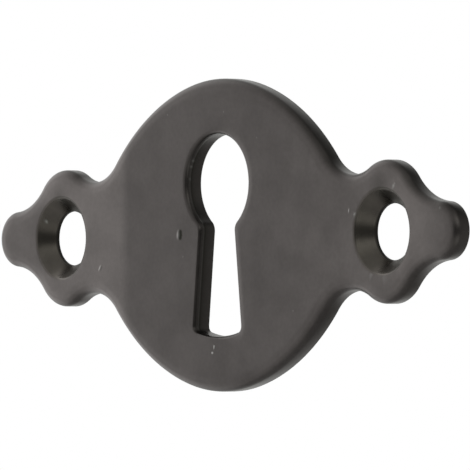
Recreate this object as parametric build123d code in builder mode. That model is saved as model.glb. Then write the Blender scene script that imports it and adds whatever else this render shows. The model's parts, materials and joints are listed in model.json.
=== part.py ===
"""Keyhole escutcheon: a cast metal cover plate for the key's opening in a drawer or a cabinet door.

The plate stands as it is fixed: X runs along its length, Z is up and its face looks towards -Y.
Its flat back lies on the plane Y = 0, with the origin midway between the two screw holes.
"""
import os
from math import cos, radians, sin, tan

from build123d import *

# Body of the plate, seen from the front, in millimetres and degrees
body_height = 22.0          # top to bottom of the plate
crown_radius = 13.7         # arc over the top and under the bottom
crown_half_angle = 14.4     # half of the angle that each crown arc takes
shoulder_radius = 16.6      # long arcs from the crowns down to the waists

# Ears, each with a lobe round its screw hole and a rounded tip
plate_length = 51.6         # tip to tip
tip_radius = 2.0
lobe_height = 9.85          # top to bottom of an ear, across its screw hole
lobe_radius = 3.2
waist_radius = 3.6          # hollow between body and lobe
neck_radius = 4.9           # hollow between lobe and tip

# Thickness, and the way that the face falls away towards the tips
plate_thickness = 1.45
crease_spacing = 21.2       # between the soft creases where the flat middle of the face ends
tip_setback = 0.1           # how far the face has fallen back where it reaches the tips
crease_radius = 100.0
rim_rounding = 0.6          # soft outer edge of the face

# Countersunk screw holes
screw_spacing = 36.2
screw_hole_radius = 1.95
countersink_angle = 82.0
hole_land = 0.25            # straight wall left at the back of each hole
countersink_easing = 0.3    # soft edge where each cone meets the face

# Keyhole
round_radius = 3.45         # round top that takes the key's stem
round_height = 3.65         # its centre, above the middle of the plate
slot_foot = 7.05            # foot of the slot, below the middle of the plate
slot_width_top = 3.05       # slot width, taken at the centre of the round
slot_width_foot = 5.3
slot_neck_radius = 0.8      # where the round runs into the slot
slot_corner_radius = 0.7
keyhole_rounding = 0.35     # eased front edge of the keyhole

half_height = body_height / 2
half_length = plate_length / 2
lobe_centre = Vector(screw_spacing / 2, lobe_height / 2 - lobe_radius)
tip_centre = Vector(half_length - tip_radius, 0)
crown_centre = Vector(0, half_height - crown_radius)


def polar(centre, radius, angle):
    """Point on a circle, at an angle in degrees from +X."""
    return centre + Vector(radius * cos(radians(angle)), radius * sin(radians(angle)))


def hollow_centre(left, left_radius, right, right_radius, hollow_radius):
    """Centre of the upper circle that touches two others from outside."""
    apart = right - left
    reach = left_radius + hollow_radius
    along = (apart.length**2 + reach**2 - (right_radius + hollow_radius) ** 2) / (2 * apart.length)
    above = (reach**2 - along**2) ** 0.5
    forward = apart.normalized()
    return left + forward * along + Vector(-forward.Y, forward.X) * above


def towards(centre, radius, target):
    """Point on a circle, on the line from its centre to a target."""
    return centre + (target - centre).normalized() * radius


# The shoulder arc carries on from the crown arc with no corner.
shoulder_start = polar(crown_centre, crown_radius, 90 - crown_half_angle)
shoulder_centre = polar(shoulder_start, shoulder_radius, 270 - crown_half_angle)
waist_centre = hollow_centre(shoulder_centre, shoulder_radius, lobe_centre, lobe_radius, waist_radius)
neck_centre = hollow_centre(lobe_centre, lobe_radius, tip_centre, tip_radius, neck_radius)

with BuildPart() as escutcheon_plate:
    # One quarter of the outline, as arcs that run into each other, then mirrored twice.
    with BuildSketch(Plane.XZ):
        with BuildLine():
            RadiusArc((0, half_height), shoulder_start, crown_radius)
            waist_start = towards(shoulder_centre, shoulder_radius, waist_centre)
            RadiusArc(shoulder_start, waist_start, shoulder_radius)
            waist_end = towards(lobe_centre, lobe_radius, waist_centre)
            RadiusArc(waist_start, waist_end, -waist_radius)
            neck_start = towards(lobe_centre, lobe_radius, neck_centre)
            RadiusArc(waist_end, neck_start, lobe_radius)
            neck_end = towards(tip_centre, tip_radius, neck_centre)
            RadiusArc(neck_start, neck_end, -neck_radius)
            RadiusArc(neck_end, (half_length, 0), tip_radius)
            mirror(about=Plane.XZ)
            mirror(about=Plane.YZ)
        make_face()
    extrude(amount=plate_thickness)

    # The face is flat between the creases and falls back gently over each ear.
    with BuildSketch(Plane.XY) as plan:
        with BuildLine():
            Polyline(
                (-half_length, 0),
                (half_length, 0),
                (half_length, tip_setback - plate_thickness),
                (crease_spacing / 2, -plate_thickness),
                (-crease_spacing / 2, -plate_thickness),
                (-half_length, tip_setback - plate_thickness),
                close=True,
            )
        make_face()
        fillet(plan.vertices().group_by(Axis.Y)[0], crease_radius)
    extrude(amount=body_height, both=True, mode=Mode.INTERSECT)

    # Soft outer edge all round the face: every curved edge that isn't on the back
    curved_edges = escutcheon_plate.edges().filter_by(GeomType.LINE, reverse=True)
    fillet(curved_edges - curved_edges.group_by(Axis.Y)[-1], rim_rounding)

    # Keyhole: a round with a slot that widens towards its foot
    with BuildSketch(Plane.XZ) as keyhole:
        with BuildLine():
            Polyline(
                (-slot_width_top / 2, round_height),
                (slot_width_top / 2, round_height),
                (slot_width_foot / 2, -slot_foot),
                (-slot_width_foot / 2, -slot_foot),
                close=True,
            )
        make_face()
        with Locations((0, round_height)):
            Circle(round_radius)
        fillet(keyhole.vertices().group_by(Axis.Y)[0], slot_corner_radius)
        fillet(keyhole.vertices().group_by(Axis.Y)[-1], slot_neck_radius)
    extrude(amount=plate_thickness, mode=Mode.SUBTRACT)
    fillet(escutcheon_plate.edges(Select.LAST).group_by(Axis.Y)[0], keyhole_rounding)

    # Screw holes, countersunk from the face
    with Locations(Plane.XZ.offset(plate_thickness)):
        with GridLocations(screw_spacing, 0, 2, 1):
            CounterSinkHole(
                radius=screw_hole_radius,
                counter_sink_radius=screw_hole_radius
                + (plate_thickness - hole_land) * tan(radians(countersink_angle / 2)),
                counter_sink_angle=countersink_angle,
            )
    fillet(escutcheon_plate.edges(Select.LAST).group_by(Axis.Y)[0], countersink_easing)

escutcheon_plate.part.label = "escutcheon_plate"

os.makedirs("parts", exist_ok=True)
export_step(escutcheon_plate.part, "parts/escutcheon_plate.step")
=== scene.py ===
"""Finished look of a cast keyhole escutcheon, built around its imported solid.

The plate keeps the solid's frame: X along its length, Z up, its face towards -Y and its back on Y = 0.
"""
import json
from collections import namedtuple
from math import asin, atan2, ceil, copysign, cos, degrees, hypot, pi, radians, sin, sqrt, tan

import bmesh
import bpy
from bpy.props import FloatProperty, FloatVectorProperty, PointerProperty
from mathutils import Matrix, Quaternion, Vector, noise


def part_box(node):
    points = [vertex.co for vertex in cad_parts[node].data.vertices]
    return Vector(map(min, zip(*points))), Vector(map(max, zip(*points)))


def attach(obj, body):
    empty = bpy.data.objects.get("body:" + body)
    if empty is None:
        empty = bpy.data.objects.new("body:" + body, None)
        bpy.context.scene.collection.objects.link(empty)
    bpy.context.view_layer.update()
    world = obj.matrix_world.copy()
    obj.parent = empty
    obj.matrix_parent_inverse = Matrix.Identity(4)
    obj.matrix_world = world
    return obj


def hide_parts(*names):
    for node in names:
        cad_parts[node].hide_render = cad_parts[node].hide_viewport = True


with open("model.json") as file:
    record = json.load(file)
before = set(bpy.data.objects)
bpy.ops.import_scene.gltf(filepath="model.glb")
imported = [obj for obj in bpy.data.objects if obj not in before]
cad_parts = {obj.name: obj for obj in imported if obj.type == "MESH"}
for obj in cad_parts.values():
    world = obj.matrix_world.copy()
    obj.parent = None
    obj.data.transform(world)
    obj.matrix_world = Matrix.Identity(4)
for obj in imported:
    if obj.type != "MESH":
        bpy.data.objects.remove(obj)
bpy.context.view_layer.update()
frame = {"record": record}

bl_info = {
    "name": "Keyhole Escutcheon",
    "version": (1, 0, 0),
    "blender": (4, 5, 0),
    "location": "View3D > Sidebar > Escutcheon",
    "description": "Builds a cast keyhole cover plate with its finish, and a studio to show it in",
    "category": "Object",
}

MM = 0.001
NODE = "escutcheon_plate"

NODE_LOW, NODE_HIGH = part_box(NODE)
SCREWS = next(m["dims"] for m in frame["record"]["mounts"] if m["name"] == "screw_holes")


def length(name, description, default):
    """A size in metres, shown with its unit."""
    return FloatProperty(name=name, description=description, default=default, unit="LENGTH", precision=6)


def angle(name, description, default):
    """An angle, given in degrees and stored in radians."""
    return FloatProperty(name=name, description=description, default=radians(default), subtype="ANGLE")


def colour(name, description, default):
    """A linear colour with no alpha."""
    return FloatVectorProperty(
        name=name, description=description, default=default, subtype="COLOR", min=0, max=1
    )


def share(name, description, default):
    """A plain number from 0 to 1."""
    return FloatProperty(
        name=name, description=description, default=default, subtype="FACTOR", min=0, max=1
    )


class EscutcheonShape(bpy.types.PropertyGroup):
    """Sizes of the cast plate."""

    plate_length: length("Length", "Plate from tip to tip", NODE_HIGH.x - NODE_LOW.x)
    body_height: length("Height", "Plate from top to bottom", NODE_HIGH.z - NODE_LOW.z)
    thickness: length("Thickness", "Plate from back to face", NODE_HIGH.y - NODE_LOW.y)
    crown_radius: length("Crown radius", "Arc over the top and under the bottom", 13.7 * MM)
    crown_half_angle: angle("Crown half angle", "Half of the angle of each crown arc", 14.4)
    shoulder_radius: length("Shoulder radius", "Long arcs from the crowns to the waists", 16.6 * MM)
    waist_radius: length("Waist radius", "Hollow between body and ear", 3.6 * MM)
    lobe_height: length("Lobe height", "Ear from top to bottom, across its screw hole", 9.85 * MM)
    lobe_radius: length("Lobe radius", "Round top and bottom of an ear", 3.2 * MM)
    neck_radius: length("Neck radius", "Hollow between lobe and tip", 4.9 * MM)
    tip_radius: length("Tip radius", "Round end of an ear", 2.0 * MM)
    rim_rounding: length("Rim rounding", "Depth of the soft outer edge", 0.6 * MM)
    rim_width: length("Rim width", "Width of that edge on the face", 0.62 * MM)
    dish_width: length("Dish width", "Width of the shallow fall of the face beside its edges", 0.45 * MM)
    dish_depth: length("Dish depth", "Depth of that fall", 0.03 * MM)
    back_rounding: length("Back rounding", "Broken edges at the back", 0.08 * MM)
    crease_spacing: length("Crease spacing", "Flat middle of the face, between its soft creases", 21.2 * MM)
    tip_setback: length("Tip setback", "How far the face has fallen back at the tips", 0.1 * MM)
    crease_width: length("Crease width", "Length over which the face turns at a crease", 1.4 * MM)
    screw_spacing: length("Screw spacing", "Between the screw holes", SCREWS["spacing_x_mm"] * MM)
    screw_hole_radius: length("Screw hole radius", "Straight wall of a hole", SCREWS["hole_r_mm"] * MM)
    hole_land: length("Hole land", "Straight wall behind a countersink", 0.25 * MM)
    countersink_angle: angle("Countersink angle", "Full angle of the cone", 82.0)
    countersink_easing: length("Countersink easing", "Soft edge round a countersink", 0.3 * MM)
    round_radius: length("Keyhole round", "Radius of the keyhole's round top", 3.45 * MM)
    round_height: length("Keyhole round height", "Its centre, above the middle of the plate", 3.65 * MM)
    slot_foot: length("Slot foot", "Foot of the slot, below the middle of the plate", 7.12 * MM)
    foot_radius: length("Slot foot radius", "Shallow arc of the slot's foot", 8.4 * MM)
    slot_width_top: length("Slot width at the round", "Taken at the centre of the round", 3.05 * MM)
    slot_width_foot: length("Slot width at the foot", "Width of the slot at its foot", 5.3 * MM)
    slot_neck_radius: length("Slot neck radius", "Where the round runs into the slot", 0.8 * MM)
    slot_corner_radius: length("Slot corner radius", "Corners at the foot of the slot", 0.45 * MM)
    keyhole_rounding: length("Keyhole rounding", "Depth of the keyhole's eased front edge", 0.35 * MM)
    keyhole_lip: length("Keyhole lip", "Width of that soft edge on the face", 0.32 * MM)
    keyhole_ridge: length("Keyhole ridge", "Height of the thin flash line inside the keyhole", 0.02 * MM)
    outline_step: length("Outline step", "Spacing of the points round an edge", 0.15 * MM)
    face_step: length("Face step", "Spacing of the points on the flat faces", 0.9 * MM)
    mark_step: length("Mark step", "Spacing of the points round a mark", 0.05 * MM)
    wave_height: length("Wave height", "Unevenness of the cast face", 0.003 * MM)
    wave_length: length("Wave length", "Spacing of that unevenness", 4.0 * MM)


class EscutcheonFinish(bpy.types.PropertyGroup):
    """Colours and gloss of the metal."""

    metal: colour("Metal", "Dark grey cast metal", (0.0842, 0.0760, 0.0744))
    # Lighter than the cast metal: partly bare turned metal, partly a painted reflection on the cones
    turned: colour("Turned metal", "Cones of the screw holes", (0.134, 0.121, 0.109))
    # Bare metal colour, also used for a painted highlight on the raised mark
    bare: colour("Bare metal", "Small scratches and flecks", (0.42, 0.42, 0.41))
    # Painted shade: the dark colour laid in the keyhole and screw holes, on one side of the edges and cones,
    # and beside the raised mark
    painted_shade: colour("Grime", "Dirt in the keyhole and on the edges", (0.02, 0.0195, 0.015))
    roughness: share("Roughness", "Satin face", 0.33)
    roughness_change: share("Roughness change", "How far the roughness goes up and down by patch", 0.03)
    back_roughness: share("Back roughness", "Back as it was cast", 0.55)
    turned_roughness: share("Countersink roughness", "Turned cones of the screw holes", 0.25)
    # Painted light: how much lighter the ears and the right of the body are made, partly rubbed wear
    light_and_rubbing: share("Rubbing", "How much lighter the ears have been rubbed", 0.5)
    mottle: share("Mottle", "Unevenness of the colour", 0.09)
    mottle_size: length("Mottle size", "Size of the uneven patches", 2.6 * MM)
    grain: share("Grain", "Strength of the cast grain", 0.06)
    grain_size: length("Grain size", "Size of the cast grain", 0.3 * MM)
    grain_height: length("Grain height", "Height of the cast grain", 0.05 * MM)
    tooling: share("Tooling", "Strength of the tool rings in the countersinks", 0.25)
    tool_pitch: length("Tool pitch", "Spacing of those rings", 0.11 * MM)
    tool_height: length("Tool height", "Height of those rings", 0.004 * MM)


class EscutcheonStage(bpy.types.PropertyGroup):
    """Camera, lights and floor."""

    view_yaw: angle("View yaw", "Camera round from the face's normal, towards +X", 51.5)
    view_pitch: angle("View pitch", "Camera above the level of the plate", -0.8)
    view_roll: angle("View roll", "Camera turned about its line of sight", -0.19)
    view_distance: length("View distance", "Camera to the middle of the plate", 484.7 * MM)
    lens: FloatProperty(name="Lens", description="Focal length", default=528.0, unit="CAMERA")
    aim_right: length("Aim right", "Aim beside the middle of the plate", 0.210 * MM)
    aim_up: length("Aim up", "Aim above the middle of the plate", 0.011 * MM)
    floor_drop: length("Floor drop", "Floor below the plate's lowest point", 300 * MM)
    floor_radius: length("Floor radius", "Radius of the round floor", 300 * MM)
    floor_colour: colour("Floor", "Plain pale floor", (0.62, 0.62, 0.62))
    floor_roughness: share("Floor roughness", "Matt floor", 0.8)
    dome_radius: length("Dome radius", "Cloth dome that lights the plate", 450 * MM)
    opening_angle: angle("Dome opening", "Half angle of the opening that shows the white behind the plate", 8)
    softbox_yaw: angle("Softbox yaw", "Softbox round from the face's normal, towards +X", -75)
    softbox_distance: length("Softbox distance", "Softbox to the middle of the plate", 400 * MM)
    softbox_size: length("Softbox size", "Side of the square softbox", 300 * MM)
    softbox_level: share("Softbox level", "Brightness of the softbox's face", 0.3)


# Light that the dome's cloth gives off: stops of degrees and the level there, straight between them. ACROSS
# runs from the plate's normal towards +X, UP from level, and each light is the product of its two.
AMBIENT = 0.32
DOME_TINT = (0.98, 1.0, 0.94)  # of the ambient light and the strips
# Broad light on the left, with its middle a few degrees above level
KEY_RISE = 4
KEY_ACROSS = (
    (-170, 0.15), (-150, 0.36), (-130, 0.42), (-110, 0.42), (-92, 0.9), (-72, 1.12), (-60, 0.34), (-50, 0.0),
)
KEY_UP = ((12, 1.0), (28, 1.04), (44, 0.72), (60, 0.28), (78, 0.03))
# Softer light before the face
FRONT_ACROSS = ((-75, 0.0), (-62, 0.29), (-52, 0.375), (-30, 0.37), (-10, 0.32), (10, 0.17), (30, 0.0))
FRONT_UP = ((5, 1.0), (16, 1.0), (30, 1.02), (44, 0.9), (60, 0.4), (78, 0.02))
# Gain of both above level
RAISED_UP = ((4, 1.0), (11, 1.2), (28, 1.18), (42, 1.0))
# A strip on the right above level, and a dimmer one below it
STRIP_ACROSS = ((8, 0.0), (24, 0.2), (50, 0.24), (66, 0.7), (90, 0.6), (112, 0.0))
STRIP_UP = ((12, 0.0), (22, 0.95), (33, 1.0), (44, 0.65), (56, 0.15), (64, 0.0))
LOWER_STRIP = 0.65
# Shares taken off the ambient light, at the right of the plate and high up behind it
DARK_ACROSS = ((0, 0.0), (22, 0.65), (70, 0.65), (130, 0.0))
DARK_UP = ((13, 1.0), (24, 0.0))
BEHIND_ACROSS = ((120, 0.0), (160, 0.6))
BEHIND_UP = ((25, 0.0), (45, 1.0))

# Marks on the cast face: place, half length, half width and height in millimetres, turn in degrees from
# upright, and how much bare metal shows, which on the raised mark is a painted highlight
Mark = namedtuple("Mark", "x z half_length half_width turn height bare")
MARKS = (
    # The raised mark, lit by a painted highlight, with painted shade beside it on its right
    Mark(-4.24, 0.07, 0.46, 0.28, 6, 0.0415, 0.2),
    Mark(-0.20, -7.78, 0.34, 0.12, 12, 0.030, 0.7),
    Mark(-0.40, -8.28, 0.11, 0.18, 0, 0.030, 0.7),
    Mark(-13.40, -2.20, 0.36, 0.14, 38, 0.040, 0.4),
    Mark(13.33, 3.91, 0.13, 0.16, 0, 0.030, 0.5),
    Mark(14.70, 1.48, 0.22, 0.12, 10, 0.030, 0.3),
    Mark(-5.44, 8.58, 0.10, 0.10, 0, 0.010, 0.15),
    Mark(0.94, 8.63, 0.10, 0.10, 0, 0.010, 0.15),
    Mark(7.31, 8.61, 0.10, 0.12, 0, 0.012, 0.2),
    Mark(4.64, 6.72, 0.10, 0.10, 0, 0.010, 0.12),
    Mark(8.61, -5.36, 0.10, 0.10, 0, 0.010, 0.15),
    Mark(10.15, -8.06, 0.12, 0.12, 0, 0.012, 0.15),
    Mark(-3.73, -1.49, 0.10, 0.10, 0, 0.010, 0.15),
    Mark(19.57, 3.25, 0.14, 0.12, 0, 0.015, 0.15),
)
MARK_MARGIN = 1.15  # finely cut patch of the face round a mark, against the mark itself

# Masks painted on the mesh for the metal to read
MASKS = ("lit_and_rubbed_face", "painted_shade", "bare_fleck_and_highlight", "turned_wall", "cast_back")
# Flecks of bare metal on the edges: place in X, Y and Z and radius in millimetres, and strength
FLECKS = (
    (-20.38, -1.00, 1.24, 0.15, 1.0), (15.26, -1.42, 1.20, 0.16, 0.8), (19.40, -1.39, 3.11, 0.16, 0.5),
    (16.94, -1.41, -2.92, 0.16, 0.4), (18.42, -1.40, -3.14, 0.16, 0.4), (24.17, -1.33, 1.54, 0.14, 0.3),
    (-3.24, -1.10, 4.87, 0.16, 0.4), (-3.01, -1.07, 5.29, 0.16, 0.4), (-3.43, -1.07, 4.03, 0.14, 0.3),
)
# Painted shade on the upper edge of the right tip, beside the raised mark and over the countersinks, given in
# the same way
DARK_SPOTS = (
    (24.2, -1.1, 2.4, 1.6, 0.5), (-4.03, -1.45, 0.24, 0.24, 2.0), (-4.03, -1.45, 0.06, 0.26, 2.0),
    (-4.05, -1.45, -0.12, 0.24, 2.0), (17.9, -1.45, 3.1, 1.1, 0.35), (-18.3, -1.45, 3.0, 1.1, 0.35),
)

# Wall of the keyhole, from its back to its rounded edge: share of its height, share of the ridge, and painted
# shade, darkest just below the rounded edge
KEYHOLE_WALL = (
    (0.15, 0.0, 0.0),
    (0.35, 0.0, 0.05),
    (0.55, 0.0, 0.17),
    (0.72, 0.0, 0.33),
    (0.84, 0.0, 0.66),
    (0.92, 0.4, 0.36),
    (0.97, 1.0, 0.0),
)
RIDGE_FLECK = 0.06  # bare metal on top of the keyhole's flash line
# Masks at the back, in the middle of its broken edges and on the straight walls of the screw holes
BACK_MASKS = {"cast_back": 1.0}
BROKEN_EDGE_MASKS = {"cast_back": 0.6}
# Painted shade on the straight walls of the screw holes
HOLE_WALL_MASKS = {"painted_shade": 0.6, "cast_back": 0.6}

# The outer edge: its painted shade on one side, and its share of the painted light and rubbing, on a scale
# that runs from 0 at its wall to 1 at the face
RIM_WALL = -0.12  # the wall itself, on that scale
RIM_LIT_AND_RUBBED = 0.2  # where the edge leaves its wall
RIM_PAINTED_SHADE = ((RIM_WALL, 0.6375), (0.22, 0.0))
RIM_SHADE_SIDE = Vector((cos(radians(43)), 0, sin(radians(43))))  # where that painted shade is darkest
RIM_SHADE_FOCUS = 8  # how closely it keeps to that side
# The keyhole's edge: painted shade along its round top, on the same scale
ARCH_PAINTED_SHADE = ((1 / 3, 0.5), (2 / 3, 0.0))
ARCH_SHADE_FOCUS = 4
# By millimetres across and up: dip of the face beside the keyhole, and share taken off its edge's width
KEYHOLE_DISH = ((-0.6, 0.0), (1.4, 1.0))
SLIM_ACROSS = ((-1.0, 0.6), (1.0, 0.0))
SLIM_UP = ((0.0, 1.0), (1.5, 0.0))
# The countersinks: painted shade by the way that CONE_LEAN weighs right and up, and dull metal towards the
# right
CONE_LEAN = Vector((2.0, 0, 0.7))
CONE_PAINTED_SHADE = ((-0.5, 0.0), (0.5, 0.6))
CONE_DULL = ((-0.1, 0.0), (0.4, 1.0))

# Where the face is made lighter, as painted light on the ears and the right of the body, partly rubbed wear,
# in parts that add up. Each part multiplies one or two changes along the
# length: from and to in millimetres, and the share at either end.
LIT_AND_RUBBED_PARTS = (
    ((-9.8, -11.2, 0.0, 1.0), (-19.5, -21.2, 1.0, 0.38)),  # left ear, from its crease on
    ((17.2, 20.8, 0.0, 1.0), (20.8, 25.6, 0.75, 0.0)),  # right ear, towards its tip
    ((3.0, 19.0, 0.0, 0.72),),  # right-hand side of the body
)
# Noise levels between which the patches and the grain change the colour and the roughness
MOTTLE_SPAN = (0.25, 0.75)
SPECK_SPAN = (0.2, 0.8)
ROUGHNESS_SPAN = (0.3, 0.7)
MOTTLE_DETAIL = 3.0
GRAIN_DETAIL = 2.0

# Sockets of a Mix node by their place: its factor, its two numbers or colours, and the mixed colour
MIX_FACTOR = 0
MIX_NUMBERS = (2, 3)
MIX_COLOURS = (6, 7)
MIX_COLOUR_RESULT = 2

# Fineness of the meshes
BROKEN_EDGE = 0.3  # middle point of a broken back edge, as a share of its width
LIP_SEGMENTS = 12
DISH_SEGMENTS = 5
CONE_SEGMENTS = 10
EASING_SEGMENTS = 6
MERGE_DISTANCE = 1e-7
CUT_DISTANCE = 1e-8
SHARP_ANGLE = radians(35)
FLOOR_SEGMENTS = 96
DOME_SEGMENTS, DOME_RINGS = 96, 48

CLIP_START, CLIP_END = 0.01, 20  # nearest and farthest that the camera sees, in metres
ORIGIN = Vector((0, 0))
ALONG = Vector((1, 0, 0))
UP = Vector((0, 0, 1))


def read_stops(value, stops):
    """Level at a value, read off stops of (place, level) with straight lines between them."""
    if value <= stops[0][0]:
        return stops[0][1]
    for (a, low), (b, high) in zip(stops, stops[1:]):
        if value <= b:
            return low + (high - low) * (value - a) / (b - a)
    return stops[-1][1]


def of_type(kind, geom):
    """The vertices, edges or faces among an operator's results."""
    return [g for g in geom if isinstance(g, kind)]


def hollow_centre(left, left_radius, right, right_radius, hollow_radius):
    """Centre of the upper circle that touches two others from outside."""
    apart = right - left
    reach = left_radius + hollow_radius
    along = (apart.length_squared + reach**2 - (right_radius + hollow_radius) ** 2) / (2 * apart.length)
    above = sqrt(reach**2 - along**2)
    forward = apart.normalized()
    return left + forward * along + Vector((-forward.y, forward.x)) * above


def bearing(centre, point):
    """Angle of a point about a centre, clockwise from straight up."""
    return atan2(point.x - centre.x, point.y - centre.y)


def spin_arc(bm, vert, centre, turn, step):
    """Carries a vertex along an arc, clockwise for a positive turn, and returns the last one."""
    radius = hypot(vert.co.x - centre.x, vert.co.z - centre.y)
    steps = max(2, ceil(abs(turn) * radius / step))
    middle = (centre.x, 0, centre.y)
    spun = bmesh.ops.spin(bm, geom=[vert], cent=middle, axis=(0, 1, 0), angle=turn, steps=steps)
    return of_type(bmesh.types.BMVert, spun["geom_last"])[0]


def draw_line(bm, vert, end, step):
    """Carries a vertex along a straight line in even steps and returns the last one."""
    start, end = vert.co.copy(), Vector((end.x, 0, end.y))
    steps = max(1, ceil((end - start).length / step))
    for i in range(1, steps + 1):
        vert = bmesh.ops.extrude_vert_indiv(bm, verts=[vert])["verts"][0]
        vert.co = start.lerp(end, i / steps)
    return vert


def mirror_wire(bm, axis):
    """Mirrors all of a wire and joins it where it meets its image."""
    geom = bm.verts[:] + bm.edges[:]
    bmesh.ops.mirror(bm, geom=geom, matrix=Matrix(), merge_dist=MERGE_DISTANCE, axis=axis)
    bmesh.ops.remove_doubles(bm, verts=bm.verts, dist=MERGE_DISTANCE)


def outer_wire(shape):
    """Outline of the plate, as arcs that run into each other."""
    bm = bmesh.new()
    step = shape.outline_step
    crown = Vector((0, shape.body_height / 2 - shape.crown_radius))
    drop = shape.shoulder_radius - shape.crown_radius
    shoulder = crown - Vector((sin(shape.crown_half_angle), cos(shape.crown_half_angle))) * drop
    lobe = Vector((shape.screw_spacing / 2, shape.lobe_height / 2 - shape.lobe_radius))
    tip = Vector((shape.plate_length / 2 - shape.tip_radius, 0))
    waist = hollow_centre(shoulder, shape.shoulder_radius, lobe, shape.lobe_radius, shape.waist_radius)
    neck = hollow_centre(lobe, shape.lobe_radius, tip, shape.tip_radius, shape.neck_radius)
    vert = bm.verts.new((0, 0, shape.body_height / 2))
    vert = spin_arc(bm, vert, crown, shape.crown_half_angle, step)
    vert = spin_arc(bm, vert, shoulder, bearing(shoulder, waist) - shape.crown_half_angle, step)
    vert = spin_arc(bm, vert, waist, bearing(waist, lobe) - bearing(waist, shoulder) - 2 * pi, step)
    vert = spin_arc(bm, vert, lobe, bearing(lobe, neck) - bearing(lobe, waist), step)
    vert = spin_arc(bm, vert, neck, bearing(neck, tip) - bearing(neck, lobe), step)
    spin_arc(bm, vert, tip, pi / 2 - bearing(tip, neck), step)
    mirror_wire(bm, "Z")
    mirror_wire(bm, "X")
    return bm


def keyhole_wire(shape):
    """Outline of the keyhole: a round with a slot that widens towards its foot."""
    bm = bmesh.new()
    step = shape.outline_step
    side_step, corner_step, foot_step = step * 3, step / 2, step * 2
    centre = Vector((0, shape.round_height))
    top, foot = shape.slot_width_top / 2, shape.slot_width_foot / 2
    down = Vector((foot - top, -shape.slot_foot - shape.round_height)).normalized()
    out = Vector((-down.y, down.x))
    start = Vector((top, shape.round_height))
    # The neck's circle touches the round from outside and the slot's side from within the metal.
    side = (start - centre).dot(out) + shape.slot_neck_radius
    reach = shape.round_radius + shape.slot_neck_radius
    neck = centre + out * side + down * sqrt(reach**2 - side**2)
    # The corner's circle touches the slot's side and, from inside, the arc of its foot.
    corner_radius = shape.slot_corner_radius
    foot_centre = Vector((0, shape.foot_radius - shape.slot_foot))
    inner = start - out * corner_radius - foot_centre
    along = inner.dot(down)
    corner_reach = shape.foot_radius - corner_radius
    corner = foot_centre + inner + down * (sqrt(along**2 - inner.length_squared + corner_reach**2) - along)
    foot_bearing = bearing(foot_centre, corner)
    vert = bm.verts.new((0, 0, shape.round_height + shape.round_radius))
    vert = spin_arc(bm, vert, centre, bearing(centre, neck), step)
    vert = spin_arc(bm, vert, neck, bearing(ORIGIN, -out) - bearing(neck, centre), step)
    vert = draw_line(bm, vert, corner + out * corner_radius, side_step)
    vert = spin_arc(bm, vert, corner, foot_bearing - bearing(ORIGIN, out), corner_step)
    spin_arc(bm, vert, foot_centre, pi - foot_bearing, foot_step)
    mirror_wire(bm, "X")
    return bm


def screw_wire(shape, x):
    """Round outline of one screw hole."""
    bm = bmesh.new()
    place = Matrix.Translation((x, 0, 0)) @ Matrix.Rotation(pi / 2, 4, "X")
    # A multiple of 8, so that the circle is the same on all its sides
    segments = 8 * ceil(2 * pi * shape.screw_hole_radius / shape.outline_step / 8)
    bmesh.ops.create_circle(bm, segments=segments, radius=shape.screw_hole_radius, matrix=place)
    return bm


def face_depth(shape, x):
    """Distance from the back to the face, which falls away past each crease."""
    past = abs(x) - shape.crease_spacing / 2
    slope = shape.tip_setback / (shape.plate_length / 2 - shape.crease_spacing / 2)
    half = shape.crease_width / 2
    if past <= -half:
        return shape.thickness
    if past >= half:
        return shape.thickness - slope * past
    return shape.thickness - slope * (past + half) ** 2 / (4 * half)


def loop_in_order(bm):
    """Vertices of a closed wire, one after the other, anticlockwise as seen from the front."""
    first = bm.verts[:][0]
    order, edge = [first], first.link_edges[0]
    while True:
        following = edge.other_vert(order[-1])
        if following is first:
            break
        order.append(following)
        edge = next(e for e in following.link_edges if e is not edge)
    area = sum(a.co.x * b.co.z - b.co.x * a.co.z for a, b in zip(order, order[1:] + order[:1]))
    return order if area > 0 else order[::-1]


def sweep_wall(bm, wire, steps, inwards, layers):
    """Carries a closed wire along a section and gives back its first and last rings of edges.

    Each step is (offset into the metal, depth from the back, masks by name). An offset may be a function of
    the wire's point, a depth a function of x, and a mask a function of the direction into the metal.
    """
    order = [v.co.copy() for v in loop_in_order(wire)]
    wire.free()
    count = len(order)
    normals = []
    for i in range(count):
        along = (order[(i + 1) % count] - order[i - 1]).normalized()
        left = Vector((-along.z, 0, along.x))
        normals.append(left if inwards else -left)
    verts = [bm.verts.new(p) for p in order]
    edges = [bm.edges.new((verts[i], verts[(i + 1) % count])) for i in range(count)]
    rings = []
    for number, (offset, depth, masks) in enumerate(steps):
        if number:
            made = bmesh.ops.extrude_edge_only(bm, edges=edges)["geom"]
            # The new ring's vertices are put in the order of those that they came from.
            links = {}
            for v in of_type(bmesh.types.BMVert, made):
                for e in v.link_edges:
                    links.setdefault(e.other_vert(v), v)
            verts = [links[v] for v in verts]
            ring = set(verts)
            edges = [e for e in of_type(bmesh.types.BMEdge, made) if ring.issuperset(e.verts)]
        for v, p, n in zip(verts, order, normals):
            v.co = p + n * (offset(p) if callable(offset) else offset)
            v.co.y = -(depth(v.co.x) if callable(depth) else depth)
            for name, layer in layers.items():
                mask = masks.get(name, 0.0)
                v[layer] = mask(n) if callable(mask) else mask
        rings.append(edges)
    return rings[0], rings[-1]


def back_steps(shape):
    """First steps of a wall's section: the broken edge at the back."""
    ease = shape.back_rounding
    middle = ease * BROKEN_EDGE
    return [(ease, 0.0, BACK_MASKS), (middle, middle, BROKEN_EDGE_MASKS), (0.0, ease, {})]


def everywhere(_):
    """The whole of a dish or a width, at any place."""
    return 1.0


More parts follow.
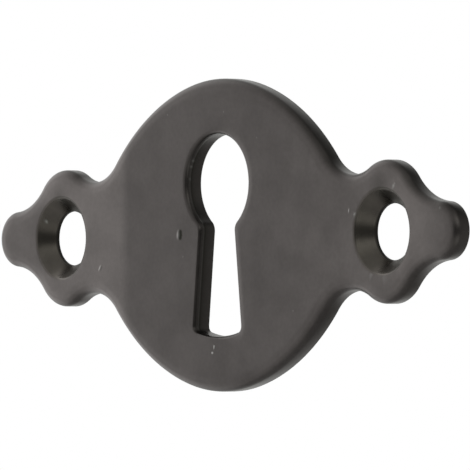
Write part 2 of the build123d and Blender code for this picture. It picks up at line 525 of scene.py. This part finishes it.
def lip_steps(shape, width, drop, masks, dish=everywhere, taper=everywhere):
    """Last steps of a wall's section: the edge rounds over, then meets the face in a shallow dish."""

    def step(part, inwards, beyond, fall, dip):
        """One step: share of the edge done, share of its width, way past it, and two falls of the face."""

        def offset(p):
            return width * taper(p) * inwards + beyond

        def depth(x):
            return face_depth(shape, x) - fall - dish(x) * dip

        return offset, depth, masks(part)

    steps = []
    for i in range(LIP_SEGMENTS):
        turn = pi / 2 * i / LIP_SEGMENTS
        fall = (drop - shape.dish_depth) * (1 - sin(turn))
        steps.append(step(i / LIP_SEGMENTS, 1 - cos(turn), 0.0, fall, shape.dish_depth))
    for i in range(DISH_SEGMENTS + 1):
        part = i / DISH_SEGMENTS
        steps.append(step(1.0, 1.0, shape.dish_width * part, 0.0, shape.dish_depth * (1 - part) ** 2))
    return steps


def rim_steps(shape):
    """Section of the outer wall, with painted shade on one side."""

    def masks(part):
        shade_share = read_stops(part, RIM_PAINTED_SHADE)
        return {
            "lit_and_rubbed_face": RIM_LIT_AND_RUBBED + (1 - RIM_LIT_AND_RUBBED) * part**2,
            "painted_shade": lambda inwards: shade_share * max(0.0, -inwards.dot(RIM_SHADE_SIDE)) ** RIM_SHADE_FOCUS,
        }

    wall = [(offset, depth, {**masks(RIM_WALL), **own}) for offset, depth, own in back_steps(shape)]
    return wall + lip_steps(shape, shape.rim_width, shape.rim_rounding, masks)


def keyhole_steps(shape):
    """Section of the keyhole's wall, with painted shade and the thin flash line left in it."""

    def masks(part):
        shade_share = read_stops(part, ARCH_PAINTED_SHADE)
        return {"lit_and_rubbed_face": part, "painted_shade": lambda inwards: shade_share * max(0.0, inwards.z) ** ARCH_SHADE_FOCUS}

    def dish_on_the_right(x):
        return read_stops(x / MM, KEYHOLE_DISH)

    def slim_beside_the_slot(p):
        return 1 - read_stops(p.x / MM, SLIM_ACROSS) * read_stops(p.z / MM, SLIM_UP)

    wall = shape.thickness - shape.keyhole_rounding
    steps = back_steps(shape)
    for part, ridge, painted_shade in KEYHOLE_WALL:
        wall_masks = {"painted_shade": painted_shade, "bare_fleck_and_highlight": RIDGE_FLECK * ridge}
        steps.append((-ridge * shape.keyhole_ridge, part * wall, wall_masks))
    return steps + lip_steps(
        shape, shape.keyhole_lip, shape.keyhole_rounding, masks, dish_on_the_right, slim_beside_the_slot
    )


def countersink_steps(shape, x):
    """Section of a screw hole from the back, up its cone, to the soft edge at the face."""
    ease, land, half = shape.back_rounding, shape.hole_land, shape.countersink_angle / 2
    level = face_depth(shape, x)
    turn = pi / 2 - half
    tangent = shape.countersink_easing * tan(turn / 2)
    corner = (level - land) * tan(half)
    cone_top = level - tangent * cos(half)
    steps = [(ease, 0.0, BACK_MASKS), (0.0, ease, HOLE_WALL_MASKS), (0.0, land, HOLE_WALL_MASKS)]
    for i in range(1, CONE_SEGMENTS):
        depth = land + (cone_top - land) * i / CONE_SEGMENTS
        steps.append(((depth - land) * tan(half), depth, {"turned_wall": 1.0}))
    for i in range(EASING_SEGMENTS + 1):
        left = turn * (1 - i / EASING_SEGMENTS)
        lift = shape.countersink_easing * (1 - cos(left))
        steps.append((
            corner + tangent - shape.countersink_easing * sin(left),
            lambda px, lift=lift: face_depth(shape, px) - lift,
            {"turned_wall": left / turn, "lit_and_rubbed_face": 1 - left / turn},
        ))
    return steps


def slice_faces(bm, faces, low, high, step, normal):
    """Cuts flat faces along evenly spaced planes and returns all the pieces."""
    count = max(1, round((high - low) / step))
    for i in range(count + 1):
        place = normal * (low + (high - low) * i / count)
        edges = dict.fromkeys(e for f in faces for e in f.edges)
        verts = dict.fromkeys(v for f in faces for v in f.verts)
        geom = [*faces, *edges, *verts]
        cut = bmesh.ops.bisect_plane(bm, geom=geom, dist=CUT_DISTANCE, plane_co=place, plane_no=normal)
        faces = of_type(bmesh.types.BMFace, cut["geom"])
    return faces


def fill_side(bm, edges, shape):
    """Fills the back or the face between its rings of edges and returns its pieces."""
    reach, rise = shape.plate_length / 2, shape.body_height / 2
    filled = bmesh.ops.triangle_fill(bm, use_beauty=True, use_dissolve=False, edges=edges)
    faces = of_type(bmesh.types.BMFace, filled["geom"])
    faces = slice_faces(bm, faces, -reach, reach, shape.face_step, ALONG)
    return slice_faces(bm, faces, -rise, rise, shape.face_step, UP)


def cut_round_marks(bm, faces, shape):
    """Cuts the face finely round each mark and returns all its pieces."""
    for mark in MARKS:
        x, z = mark.x * MM, mark.z * MM
        size = MARK_MARGIN * max(mark.half_length, mark.half_width) * MM
        near, rest = [], []
        for face in faces:
            middle = face.calc_center_median()
            away = max(abs(middle.x - x), abs(middle.z - z))
            (near if away < size + shape.face_step else rest).append(face)
        near = slice_faces(bm, near, x - size, x + size, shape.mark_step, ALONG)
        near = slice_faces(bm, near, z - size, z + size, shape.mark_step, UP)
        faces = rest + near
    return faces


def mark_strengths(x, z):
    """How strongly each mark reaches a place on the face, from 0 to 1, with the mark."""
    for mark in MARKS:
        dx, dz = x / MM - mark.x, z / MM - mark.z
        c, s = cos(radians(mark.turn)), sin(radians(mark.turn))
        away = hypot((dx * c - dz * s) / mark.half_width, (dx * s + dz * c) / mark.half_length)
        if away < 1:
            yield 0.5 + 0.5 * cos(pi * away), mark


def shape_face(faces, shape, layers):
    """Sets the points of the face to its depth and raises the marks on it."""
    for v in dict.fromkeys(v for f in faces for v in f.verts):
        v.co.y = -face_depth(shape, v.co.x)
        v[layers["lit_and_rubbed_face"]] = 1.0
        for strength, mark in mark_strengths(v.co.x, v.co.z):
            v.co.y -= strength * mark.height * MM
            v[layers["bare_fleck_and_highlight"]] = strength * mark.bare


def paint_cones(bm, shape, layers):
    """Painted shade and dull metal on one side of each countersink."""
    half = shape.screw_spacing / 2
    for v in bm.verts:
        turned = v[layers["turned_wall"]]
        if turned > 0:
            outwards = Vector((v.co.x - copysign(half, v.co.x), 0, v.co.z)).normalized()
            v[layers["painted_shade"]] = read_stops(outwards.dot(CONE_LEAN), CONE_PAINTED_SHADE)
            v[layers["cast_back"]] = turned * read_stops(outwards.x, CONE_DULL)


def paint_spots(bm, layers):
    """Flecks of bare metal and spots of painted shade, each fading out from its middle."""
    for name, spots in (("bare_fleck_and_highlight", FLECKS), ("painted_shade", DARK_SPOTS)):
        layer = layers[name]
        for x, y, z, radius, strength in spots:
            for v in bm.verts:
                away = (v.co / MM - Vector((x, y, z))).length / radius
                if away < 1:
                    v[layer] = max(v[layer], min(1.0, strength * (1 - away)))


def ripple_face(bm, shape):
    """Faint unevenness of the casting, on the front half of its thickness."""
    for v in bm.verts:
        if -v.co.y > shape.thickness / 2:
            v.co.y += shape.wave_height * noise.noise(v.co / shape.wave_length)


def build_plate_mesh(shape):
    """Mesh of the whole plate, with its marks and its cast unevenness."""
    bm = bmesh.new()
    layers = {name: bm.verts.layers.float.new(name) for name in MASKS}
    walls = [
        (outer_wire(shape), rim_steps(shape), True),
        (keyhole_wire(shape), keyhole_steps(shape), False),
    ]
    for x in (-shape.screw_spacing / 2, shape.screw_spacing / 2):
        walls.append((screw_wire(shape, x), countersink_steps(shape, x), False))
    back_edges, front_edges = [], []
    for wire, steps, inwards in walls:
        first, last = sweep_wall(bm, wire, steps, inwards, layers)
        back_edges += first
        front_edges += last
    fill_side(bm, back_edges, shape)
    face = cut_round_marks(bm, fill_side(bm, front_edges, shape), shape)
    shape_face(face, shape, layers)
    paint_cones(bm, shape, layers)
    paint_spots(bm, layers)
    ripple_face(bm, shape)
    bmesh.ops.recalc_face_normals(bm, faces=bm.faces)
    return bm


def add_piece(scene, name, bm, material):
    """New object at the origin, with its mesh and its material."""
    mesh = bpy.data.meshes.new(name)
    bm.to_mesh(mesh)
    bm.free()
    mesh.materials.append(material)
    piece = bpy.data.objects.new(name, mesh)
    scene.collection.objects.link(piece)
    return piece


class ESCUTCHEON_OT_plate(bpy.types.Operator):
    """Models the cast plate, with its keyhole and countersunk screw holes, and gives it its finish"""

    bl_idname = "escutcheon.plate"
    bl_label = "Cast Plate"

    def execute(self, context):
        scene = context.scene
        bm = build_plate_mesh(scene.escutcheon_shape)
        open_edges = [e for e in bm.edges if not e.is_manifold]
        if open_edges:
            raise RuntimeError(f"the plate's mesh has {len(open_edges)} open edges")
        plate = add_piece(scene, "cast_plate", bm, plate_material(scene.escutcheon_finish))
        plate.data.shade_smooth()
        plate.data.set_sharp_from_angle(angle=SHARP_ANGLE)
        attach(plate, "root")
        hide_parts(NODE)
        return {"FINISHED"}


class NodeBench:
    """Adds shader nodes to one material and links them up."""

    def __init__(self, material):
        material.use_nodes = True
        self.tree = material.node_tree
        self.shader = self.tree.nodes["Principled BSDF"]

    def feed(self, node, inputs):
        """Sets the inputs of a node, each to a socket to link or a plain value."""
        for name, value in inputs.items():
            if isinstance(value, bpy.types.NodeSocket):
                self.tree.links.new(value, node.inputs[name])
            else:
                node.inputs[name].default_value = value

    def add(self, kind, inputs=(), **settings):
        """New node, with its settings and then its inputs."""
        node = self.tree.nodes.new(kind)
        for name, value in settings.items():
            setattr(node, name, value)
        self.feed(node, dict(inputs))
        return node

    def maths(self, operation, *values):
        """One sum on numbers, each a socket or a plain value."""
        return self.add("ShaderNodeMath", dict(enumerate(values)), operation=operation).outputs[0]

    def scaled(self, tone, level):
        """A colour times a level."""
        inputs = {0: tuple(tone), "Scale": level}
        return self.add("ShaderNodeVectorMath", inputs, operation="SCALE").outputs[0]

    def ramp(self, value, low, high, start, end):
        """Smooth change from start to end while a value goes from low to high."""
        inputs = {"Value": value, "From Min": low, "From Max": high, "To Min": start, "To Max": end}
        return self.add("ShaderNodeMapRange", inputs, interpolation_type="SMOOTHSTEP").outputs["Result"]

    def blend(self, factor, first, second):
        """Mix of two numbers."""
        inputs = {MIX_FACTOR: factor, **dict(zip(MIX_NUMBERS, (first, second)))}
        return self.add("ShaderNodeMix", inputs, data_type="FLOAT").outputs[0]

    def blend_colours(self, factor, first, second):
        """Mix of two colours."""
        inputs = {MIX_FACTOR: factor, **dict(zip(MIX_COLOURS, (first, second)))}
        return self.add("ShaderNodeMix", inputs, data_type="RGBA").outputs[MIX_COLOUR_RESULT]

    def noise(self, place, size, detail):
        """Soft noise from 0 to 1, with spots of a size."""
        inputs = {"Vector": place, "Scale": 1 / size, "Detail": detail}
        return self.add("ShaderNodeTexNoise", inputs).outputs["Fac"]

    def painted(self, name):
        """Mask painted on the mesh."""
        return self.add("ShaderNodeAttribute", attribute_name=name).outputs["Fac"]


def plate_material(finish):
    """Satin dark grey cast metal: mottled, lighter over the ears with painted light and rubbing, painted
    shade in its hollows and on one side of its edges, turned bright in the countersinks, partly as a painted
    reflection.
    """
    material = bpy.data.materials.new("dark_cast_metal")
    bench = NodeBench(material)
    place = bench.add("ShaderNodeTexCoord").outputs["Object"]
    axes = bench.add("ShaderNodeSeparateXYZ", {0: place}).outputs
    turned = bench.painted("turned_wall")
    patches = bench.noise(place, finish.mottle_size, MOTTLE_DETAIL)
    grain = bench.noise(place, finish.grain_size, GRAIN_DETAIL)

    # Colour: cast metal, lighter with painted light and rubbing on the ears and the right of the body, then
    # the cones with a painted reflection, the painted shade and the bare flecks, with a painted highlight on
    # the raised mark, over it
    lit_and_rubbed = 0.0
    for changes in LIT_AND_RUBBED_PARTS:
        part = 1.0
        for low, high, start, end in changes:
            part = bench.maths("MULTIPLY", part, bench.ramp(axes["X"], low * MM, high * MM, start, end))
        lit_and_rubbed = bench.maths("ADD", lit_and_rubbed, part)
    # Painted light, partly rubbed wear, kept to the face
    lit_and_rubbed = bench.maths("MULTIPLY", lit_and_rubbed, bench.painted("lit_and_rubbed_face"))
    lighter = bench.maths("MULTIPLY_ADD", lit_and_rubbed, finish.light_and_rubbing, 1.0)
    uneven = bench.ramp(patches, *MOTTLE_SPAN, 1 - finish.mottle, 1 + finish.mottle)
    speck = bench.ramp(grain, *SPECK_SPAN, 1 - finish.mottle / 2, 1 + finish.mottle / 2)
    uneven = bench.maths("MULTIPLY", uneven, speck)
    metal = bench.scaled(finish.metal, bench.maths("MULTIPLY", uneven, lighter))
    # Cones in the lighter turned colour, partly a painted reflection
    metal = bench.blend_colours(turned, metal, bench.scaled(finish.turned, uneven))
    # Painted shade in the keyhole and screw holes, on one side of the edges and cones, and beside the raised
    # mark
    metal = bench.blend_colours(bench.painted("painted_shade"), metal, (*finish.painted_shade, 1))
    # Bare flecks, and a painted highlight on the raised mark
    metal = bench.blend_colours(bench.painted("bare_fleck_and_highlight"), metal, (*finish.bare, 1))

    # Roughness: patches on the face, smoother cones and a dull back
    smoothest = finish.roughness - finish.roughness_change
    roughest = finish.roughness + finish.roughness_change
    roughness = bench.ramp(patches, *ROUGHNESS_SPAN, smoothest, roughest)
    roughness = bench.blend(turned, roughness, finish.turned_roughness)
    roughness = bench.blend(bench.painted("cast_back"), roughness, finish.back_roughness)

    # Relief: cast grain all over, and tool rings in the cones
    rings = bench.maths("SINE", bench.maths("MULTIPLY", axes["Y"], 2 * pi / finish.tool_pitch))
    rings = bench.maths("MULTIPLY", rings, turned)
    bump = {"Strength": finish.grain, "Distance": finish.grain_height, "Height": grain}
    cast = bench.add("ShaderNodeBump", bump).outputs[0]
    bump = {"Strength": finish.tooling, "Distance": finish.tool_height, "Height": rings, "Normal": cast}
    tooled = bench.add("ShaderNodeBump", bump).outputs[0]

    finished = {"Base Color": metal, "Roughness": roughness, "Normal": tooled, "Metallic": 1.0}
    bench.feed(bench.shader, finished)
    return material


def dome_glow(direction):
    """Light that the dome's cloth gives off towards the plate, by direction from the plate."""
    across = degrees(atan2(direction.x, -direction.y))
    up = degrees(asin(direction.z))
    key = read_stops(across, KEY_ACROSS) * read_stops(abs(up - KEY_RISE), KEY_UP)
    front = read_stops(across, FRONT_ACROSS) * read_stops(abs(up), FRONT_UP)
    strips = read_stops(across, STRIP_ACROSS) * read_stops(abs(up), STRIP_UP)
    if up <= 0:
        strips *= LOWER_STRIP
    dark = read_stops(across, DARK_ACROSS) * read_stops(abs(up), DARK_UP)
    behind = read_stops(abs(across), BEHIND_ACROSS) * read_stops(up, BEHIND_UP)
    level = AMBIENT * (1 - dark) * (1 - behind) + strips
    raised = (key + front) * read_stops(up, RAISED_UP)
    return tuple(level * tint + raised for tint in DOME_TINT)


def glowing_material(name, attribute):
    """Material of the stage that gives off the light painted on its vertices."""
    material = bpy.data.materials.new(name)
    material.use_nodes = True
    tree = material.node_tree
    tree.nodes.clear()
    output = tree.nodes.new("ShaderNodeOutputMaterial")
    emission = tree.nodes.new("ShaderNodeEmission")
    painted = tree.nodes.new("ShaderNodeAttribute")
    painted.attribute_name = attribute
    tree.links.new(painted.outputs["Color"], emission.inputs["Color"])
    tree.links.new(emission.outputs["Emission"], output.inputs["Surface"])
    return material


def plain_material(name, base, roughness):
    """Matt material of the stage."""
    material = bpy.data.materials.new(name)
    bench = NodeBench(material)
    bench.feed(bench.shader, {"Base Color": (*base, 1), "Roughness": roughness})
    return material


def facing(yaw, pitch=0.0):
    """Direction from the plate, at an angle from its face's normal towards +X and up."""
    return Vector((sin(yaw) * cos(pitch), -cos(yaw) * cos(pitch), sin(pitch)))


def white_world():
    """Plain white surroundings, which show behind the plate."""
    world = bpy.data.worlds.new("white_studio")
    world.use_nodes = True
    background = world.node_tree.nodes["Background"]
    background.inputs["Color"].default_value = (1, 1, 1, 1)
    background.inputs["Strength"].default_value = 1.0
    return world


def add_floor(scene, stage):
    """Round pale floor, well below the plate."""
    bm = bmesh.new()
    place = Matrix.Translation((0, 0, NODE_LOW.z - stage.floor_drop))
    bmesh.ops.create_circle(
        bm, cap_ends=True, segments=FLOOR_SEGMENTS, radius=stage.floor_radius, matrix=place
    )
    material = plain_material("pale_floor", stage.floor_colour, stage.floor_roughness)
    return add_piece(scene, "floor", bm, material)


def add_dome(scene, stage):
    """Glowing cloth dome round the plate, with an opening behind it that the camera looks through."""
    bm = bmesh.new()
    bmesh.ops.create_uvsphere(
        bm, u_segments=DOME_SEGMENTS, v_segments=DOME_RINGS, radius=stage.dome_radius
    )
    behind = -facing(stage.view_yaw, stage.view_pitch)
    opening = [f for f in bm.faces if f.calc_center_median().angle(behind) < stage.opening_angle]
    bmesh.ops.delete(bm, geom=opening, context="FACES")
    glow = bm.verts.layers.float_color.new("glow")
    for v in bm.verts:
        v[glow] = (*dome_glow(v.co.normalized()), 1)
    dome = add_piece(scene, "light_dome", bm, glowing_material("dome_cloth", "glow"))
    dome.visible_camera = False
    return dome


def add_softbox(scene, stage):
    """Square lamp on the left that looks at the plate, with its level as the radiance of its face."""
    lamp = bpy.data.lights.new("left_softbox", "AREA")
    lamp.shape = "SQUARE"
    lamp.size = stage.softbox_size
    lamp.energy = stage.softbox_level * pi * stage.softbox_size**2
    softbox = bpy.data.objects.new("left_softbox", lamp)
    softbox.location = facing(stage.softbox_yaw) * stage.softbox_distance
    softbox.rotation_euler = softbox.location.to_track_quat("Z", "Y").to_euler()
    softbox.visible_camera = False
    scene.collection.objects.link(softbox)


def add_camera(scene, stage):
    """Long lens on the plate's right, nearly level with it."""
    camera_data = bpy.data.cameras.new("photo_view")
    camera_data.lens = stage.lens
    camera_data.clip_start, camera_data.clip_end = CLIP_START, CLIP_END
    camera = bpy.data.objects.new("photo_view", camera_data)
    towards = facing(stage.view_yaw, stage.view_pitch)
    turn = towards.to_track_quat("Z", "Y") @ Quaternion((0, 0, 1), stage.view_roll)
    aim = turn @ Vector((stage.aim_right, stage.aim_up, 0))
    camera.location = aim + towards * stage.view_distance
    camera.rotation_euler = turn.to_euler()
    scene.collection.objects.link(camera)
    return camera


class ESCUTCHEON_OT_stage(bpy.types.Operator):
    """Sets up the pale floor, the soft lights and the camera"""

    bl_idname = "escutcheon.stage"
    bl_label = "Studio"

    def execute(self, context):
        scene = context.scene
        stage = scene.escutcheon_stage
        scene.view_settings.view_transform = "Standard"
        scene.world = white_world()
        floor = add_floor(scene, stage)
        dome = add_dome(scene, stage)
        add_softbox(scene, stage)
        scene.camera = add_camera(scene, stage)
        return {"FINISHED"}


class ESCUTCHEON_PT_panel(bpy.types.Panel):
    """Lists the pieces and their settings"""

    bl_idname = "ESCUTCHEON_PT_panel"
    bl_label = "Keyhole Escutcheon"
    bl_space_type = "VIEW_3D"
    bl_region_type = "UI"
    bl_category = "Escutcheon"

    def draw(self, context):
        for group, operator in (
            (context.scene.escutcheon_shape, ESCUTCHEON_OT_plate),
            (context.scene.escutcheon_finish, None),
            (context.scene.escutcheon_stage, ESCUTCHEON_OT_stage),
        ):
            box = self.layout.box()
            for name in group.bl_rna.properties.keys():
                if name not in ("rna_type", "name"):
                    box.prop(group, name)
            if operator:
                box.operator(operator.bl_idname)


CLASSES = (
    EscutcheonShape,
    EscutcheonFinish,
    EscutcheonStage,
    ESCUTCHEON_OT_plate,
    ESCUTCHEON_OT_stage,
    ESCUTCHEON_PT_panel,
)


def register():
    """Makes the classes and their settings known."""
    for cls in CLASSES:
        bpy.utils.register_class(cls)
    bpy.types.Scene.escutcheon_shape = PointerProperty(type=EscutcheonShape)
    bpy.types.Scene.escutcheon_finish = PointerProperty(type=EscutcheonFinish)
    bpy.types.Scene.escutcheon_stage = PointerProperty(type=EscutcheonStage)


def unregister():
    """Takes the settings and the classes away again."""
    del bpy.types.Scene.escutcheon_stage
    del bpy.types.Scene.escutcheon_finish
    del bpy.types.Scene.escutcheon_shape
    for cls in reversed(CLASSES):
        bpy.utils.unregister_class(cls)


def main():
    """Builds the plate and its studio."""
    register()
    bpy.ops.escutcheon.plate()
    bpy.ops.escutcheon.stage()


if __name__ == "__main__":
    main()
